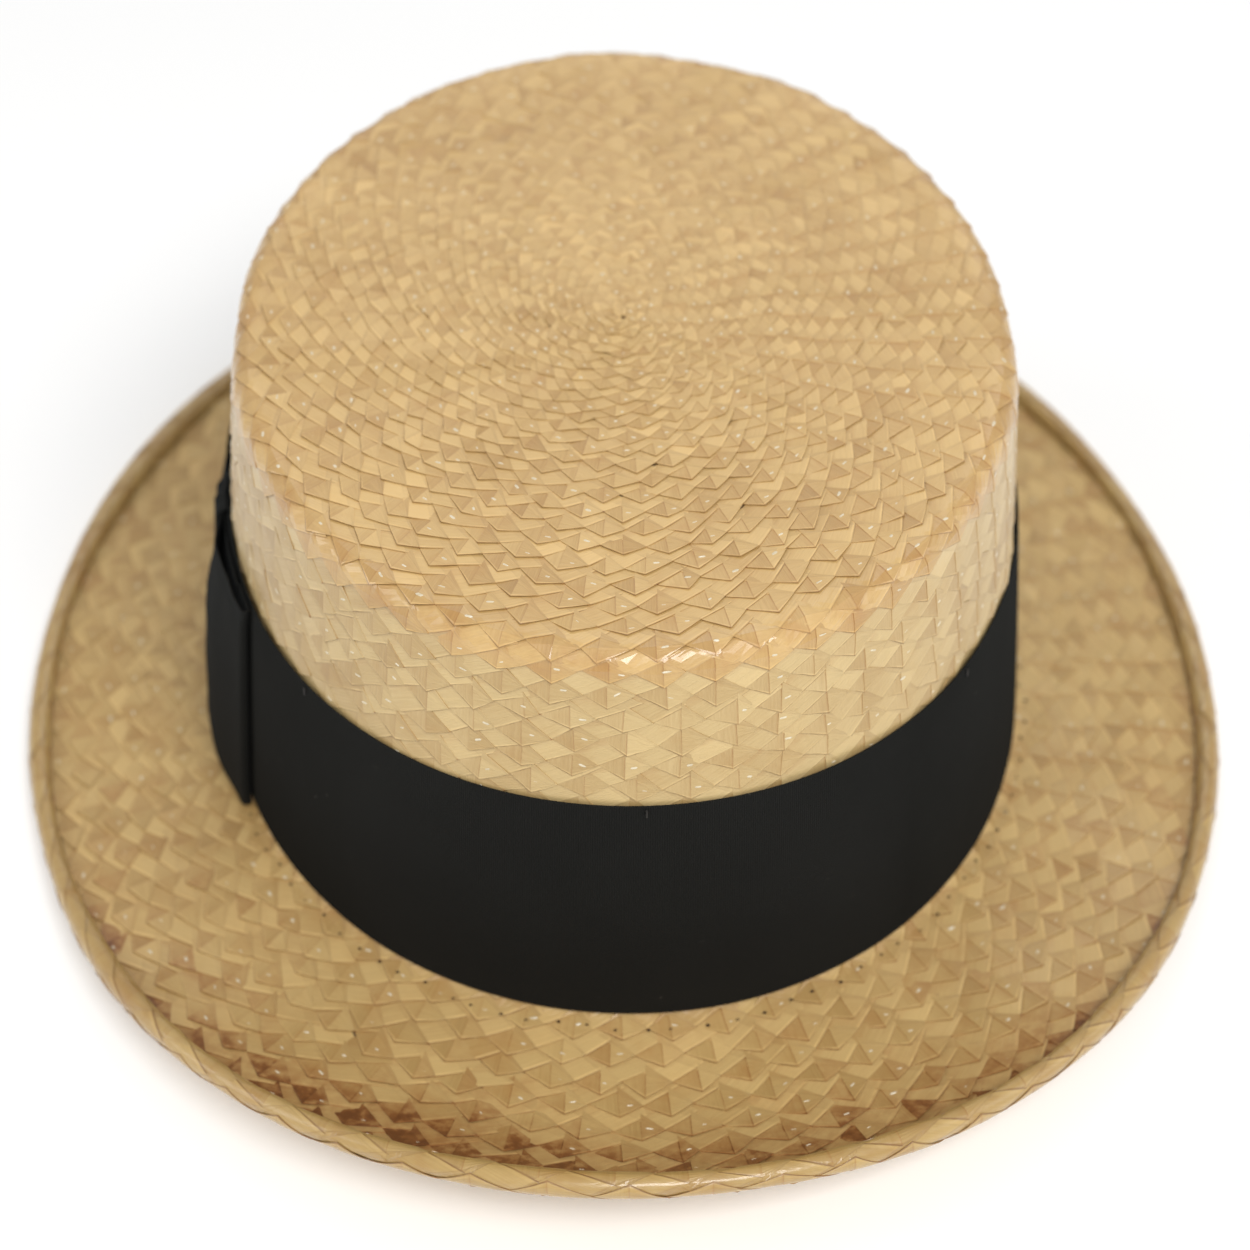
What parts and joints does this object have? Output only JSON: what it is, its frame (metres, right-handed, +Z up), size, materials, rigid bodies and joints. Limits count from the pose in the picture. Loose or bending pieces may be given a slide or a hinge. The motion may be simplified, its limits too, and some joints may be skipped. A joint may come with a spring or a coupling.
{
  "type": "straw hat",
  "caption": "Flat-topped woven straw hat with a turned-up brim, rolled hem, wide ribbon band, flat side bow and leather sweatband.",
  "frame": {"origin": "centre of the head opening, on the plane the brim rests on", "axes": "+Z up through the crown, +Y towards the front of the hat, -X towards the wearer's left, where the bow is"},
  "size_m": [0.259, 0.3124, 0.1005],
  "materials": {
    "straw": "lacquered woven palm straw, soft gloss",
    "ribbon": "black grosgrain, fine upright ribs",
    "leather": "smooth tan sweatband leather",
    "reed": "pale extruded reed",
    "tape": "cream cotton tape",
    "wire": "drawn steel wire",
    "ferrule": "crimped sleeve",
    "thread": "waxed tan thread",
    "black_thread": "black sewing thread"
  },
  "bodies": {
    "root": {"woven_body": "straw", "hat_band": "ribbon", "bow_backing": "ribbon", "bow_front_loop": "ribbon", "bow_rear_loop": "ribbon", "bow_knot": "ribbon", "sweatband": "leather", "sweatband_reed": "reed", "reed_tape": "tape", "sweatband_stitching": "thread", "sweatband_rear_bow": "ribbon", "band_tacks": "black_thread", "brim_wire": "wire", "wire_ferrule": "ferrule"}
  },
  "joints": []
}
